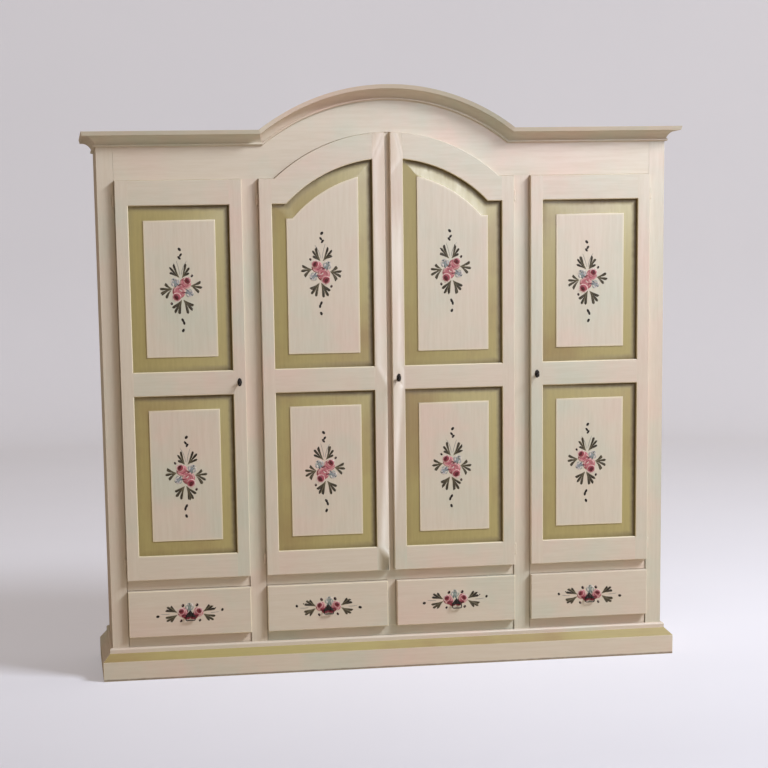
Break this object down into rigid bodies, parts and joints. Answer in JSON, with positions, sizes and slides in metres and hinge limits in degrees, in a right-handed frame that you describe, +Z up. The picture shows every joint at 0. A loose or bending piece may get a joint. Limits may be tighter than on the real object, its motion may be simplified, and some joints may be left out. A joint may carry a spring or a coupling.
{
  "type": "wardrobe",
  "caption": "Painted country wardrobe with panelled hinged doors, the middle pair under an arched cornice, drawers with drop pulls below them and a moulded plinth.",
  "frame": {"origin": "on the floor, under the middle of the overall width and depth", "axes": "+X to the right seen from the front, -Y out of the front, +Z up"},
  "size_m": [2.308, 0.504, 2.248],
  "materials": {
    "cream_paint": "aged cream paint on wood, satin",
    "cream_and_olive_paint": "cream fields with olive bevels, painted motifs, satin",
    "bare_wood": "bare softwood, waxed",
    "dark_iron": "burnished dark iron",
    "steel": "dull steel"
  },
  "bodies": {
    "carcass": {"arched_frieze": "cream_paint", "back_boards": "bare_wood", "centre_posts": "cream_paint", "cornice_arch": "cream_and_olive_paint", "cornice_lengths": "cream_and_olive_paint", "door_stops": "bare_wood", "drawer_runners": "bare_wood", "face_rails": "cream_paint", "face_stiles": "cream_paint", "floor_panels": "bare_wood", "hanging_rails": "bare_wood", "hat_shelves": "bare_wood", "hinge_pins": "dark_iron", "partitions": "bare_wood", "plinth_boards": "cream_paint", "plinth_caps": "cream_and_olive_paint", "rail_sockets": "bare_wood", "side_panels": "cream_paint", "strike_plates": "dark_iron", "top_boards": "bare_wood"},
    "door_1": {"door_1_frame": "cream_paint", "door_1_hinges": "dark_iron", "door_1_lock": "dark_iron", "door_1_panels": "cream_and_olive_paint"},
    "door_1_key": {"door_1_key": "dark_iron"},
    "door_1_lock_bolt": {"door_1_lock_bolt": "steel"},
    "door_2": {"door_2_bolt_guides": "steel", "door_2_frame": "cream_paint", "door_2_hinges": "dark_iron", "door_2_panels": "cream_and_olive_paint"},
    "door_2_lower_bolt": {"door_2_lower_bolt": "steel"},
    "door_2_upper_bolt": {"door_2_upper_bolt": "steel"},
    "door_3": {"door_3_frame": "cream_paint", "door_3_hinges": "dark_iron", "door_3_lock": "dark_iron", "door_3_panels": "cream_and_olive_paint"},
    "door_3_key": {"door_3_key": "dark_iron"},
    "door_3_lock_bolt": {"door_3_lock_bolt": "steel"},
    "door_4": {"door_4_frame": "cream_paint", "door_4_hinges": "dark_iron", "door_4_lock": "dark_iron", "door_4_panels": "cream_and_olive_paint"},
    "door_4_key": {"door_4_key": "dark_iron"},
    "door_4_lock_bolt": {"door_4_lock_bolt": "steel"},
    "drawer_1": {"drawer_1_box": "bare_wood", "drawer_1_front": "cream_paint", "drawer_1_pull_plate": "dark_iron"},
    "drawer_1_pull_bail": {"drawer_1_pull_bail": "dark_iron"},
    "drawer_2": {"drawer_2_box": "bare_wood", "drawer_2_front": "cream_paint", "drawer_2_pull_plate": "dark_iron"},
    "drawer_2_pull_bail": {"drawer_2_pull_bail": "dark_iron"},
    "drawer_3": {"drawer_3_box": "bare_wood", "drawer_3_front": "cream_paint", "drawer_3_pull_plate": "dark_iron"},
    "drawer_3_pull_bail": {"drawer_3_pull_bail": "dark_iron"},
    "drawer_4": {"drawer_4_box": "bare_wood", "drawer_4_front": "cream_paint", "drawer_4_pull_plate": "dark_iron"},
    "drawer_4_pull_bail": {"drawer_4_pull_bail": "dark_iron"}
  },
  "joints": [
    {"name": "door_1_swing", "type": "hinge", "parent": "carcass", "child": "door_1", "pos_m": [-1.0414, -0.2028, 1.1415], "axis": [0, 0, -1], "range_deg": [0, 105]},
    {"name": "door_2_swing", "type": "hinge", "parent": "carcass", "child": "door_2", "pos_m": [-0.4994, -0.2028, 1.1415], "axis": [0, 0, -1], "range_deg": [0, 105]},
    {"name": "door_3_swing", "type": "hinge", "parent": "carcass", "child": "door_3", "pos_m": [0.4994, -0.2028, 1.1415], "axis": [0, 0, 1], "range_deg": [0, 105]},
    {"name": "door_4_swing", "type": "hinge", "parent": "carcass", "child": "door_4", "pos_m": [1.0414, -0.2028, 1.1415], "axis": [0, 0, 1], "range_deg": [0, 105]},
    {"name": "door_1_key_turn", "type": "hinge", "parent": "door_1", "child": "door_1_key", "pos_m": [-0.584, -0.2302, 1.1415], "axis": [0, 1, 0], "range_deg": [0, 180]},
    {"name": "door_1_bolt_throw", "type": "slide", "parent": "door_1", "child": "door_1_lock_bolt", "axis": [1, 0, 0], "range_m": [0, 0.01]},
    {"name": "door_3_key_turn", "type": "hinge", "parent": "door_3", "child": "door_3_key", "pos_m": [0.035, -0.2302, 1.1415], "axis": [0, -1, 0], "range_deg": [0, 180]},
    {"name": "door_3_bolt_throw", "type": "slide", "parent": "door_3", "child": "door_3_lock_bolt", "axis": [-1, 0, 0], "range_m": [0, 0.01]},
    {"name": "door_4_key_turn", "type": "hinge", "parent": "door_4", "child": "door_4_key", "pos_m": [0.584, -0.2302, 1.1415], "axis": [0, -1, 0], "range_deg": [0, 180]},
    {"name": "door_4_bolt_throw", "type": "slide", "parent": "door_4", "child": "door_4_lock_bolt", "axis": [-1, 0, 0], "range_m": [0, 0.01]},
    {"name": "door_2_upper_bolt_slide", "type": "slide", "parent": "door_2", "child": "door_2_upper_bolt", "axis": [0, 0, 1], "range_m": [0, 0.012]},
    {"name": "door_2_lower_bolt_slide", "type": "slide", "parent": "door_2", "child": "door_2_lower_bolt", "axis": [0, 0, -1], "range_m": [0, 0.012]},
    {"name": "drawer_1_slide", "type": "slide", "parent": "carcass", "child": "drawer_1", "axis": [0, -1, 0], "range_m": [0, 0.32]},
    {"name": "drawer_1_bail_swing", "type": "hinge", "parent": "drawer_1", "child": "drawer_1_pull_bail", "pos_m": [-0.798, -0.229, 0.2424], "axis": [-1, 0, 0], "range_deg": [-12, 95]},
    {"name": "drawer_2_slide", "type": "slide", "parent": "carcass", "child": "drawer_2", "axis": [0, -1, 0], "range_m": [0, 0.32]},
    {"name": "drawer_2_bail_swing", "type": "hinge", "parent": "drawer_2", "child": "drawer_2_pull_bail", "pos_m": [-0.25625, -0.229, 0.2424], "axis": [-1, 0, 0], "range_deg": [-12, 95]},
    {"name": "drawer_3_slide", "type": "slide", "parent": "carcass", "child": "drawer_3", "axis": [0, -1, 0], "range_m": [0, 0.32]},
    {"name": "drawer_3_bail_swing", "type": "hinge", "parent": "drawer_3", "child": "drawer_3_pull_bail", "pos_m": [0.25625, -0.229, 0.2424], "axis": [-1, 0, 0], "range_deg": [-12, 95]},
    {"name": "drawer_4_slide", "type": "slide", "parent": "carcass", "child": "drawer_4", "axis": [0, -1, 0], "range_m": [0, 0.32]},
    {"name": "drawer_4_bail_swing", "type": "hinge", "parent": "drawer_4", "child": "drawer_4_pull_bail", "pos_m": [0.798, -0.229, 0.2424], "axis": [-1, 0, 0], "range_deg": [-12, 95]}
  ],
  "couplings": [
    {"joint": "door_1_bolt_throw", "follows": "door_1_key_turn", "m_per_rad": 0.00318},
    {"joint": "door_3_bolt_throw", "follows": "door_3_key_turn", "m_per_rad": 0.00318},
    {"joint": "door_4_bolt_throw", "follows": "door_4_key_turn", "m_per_rad": 0.00318}
  ]
}
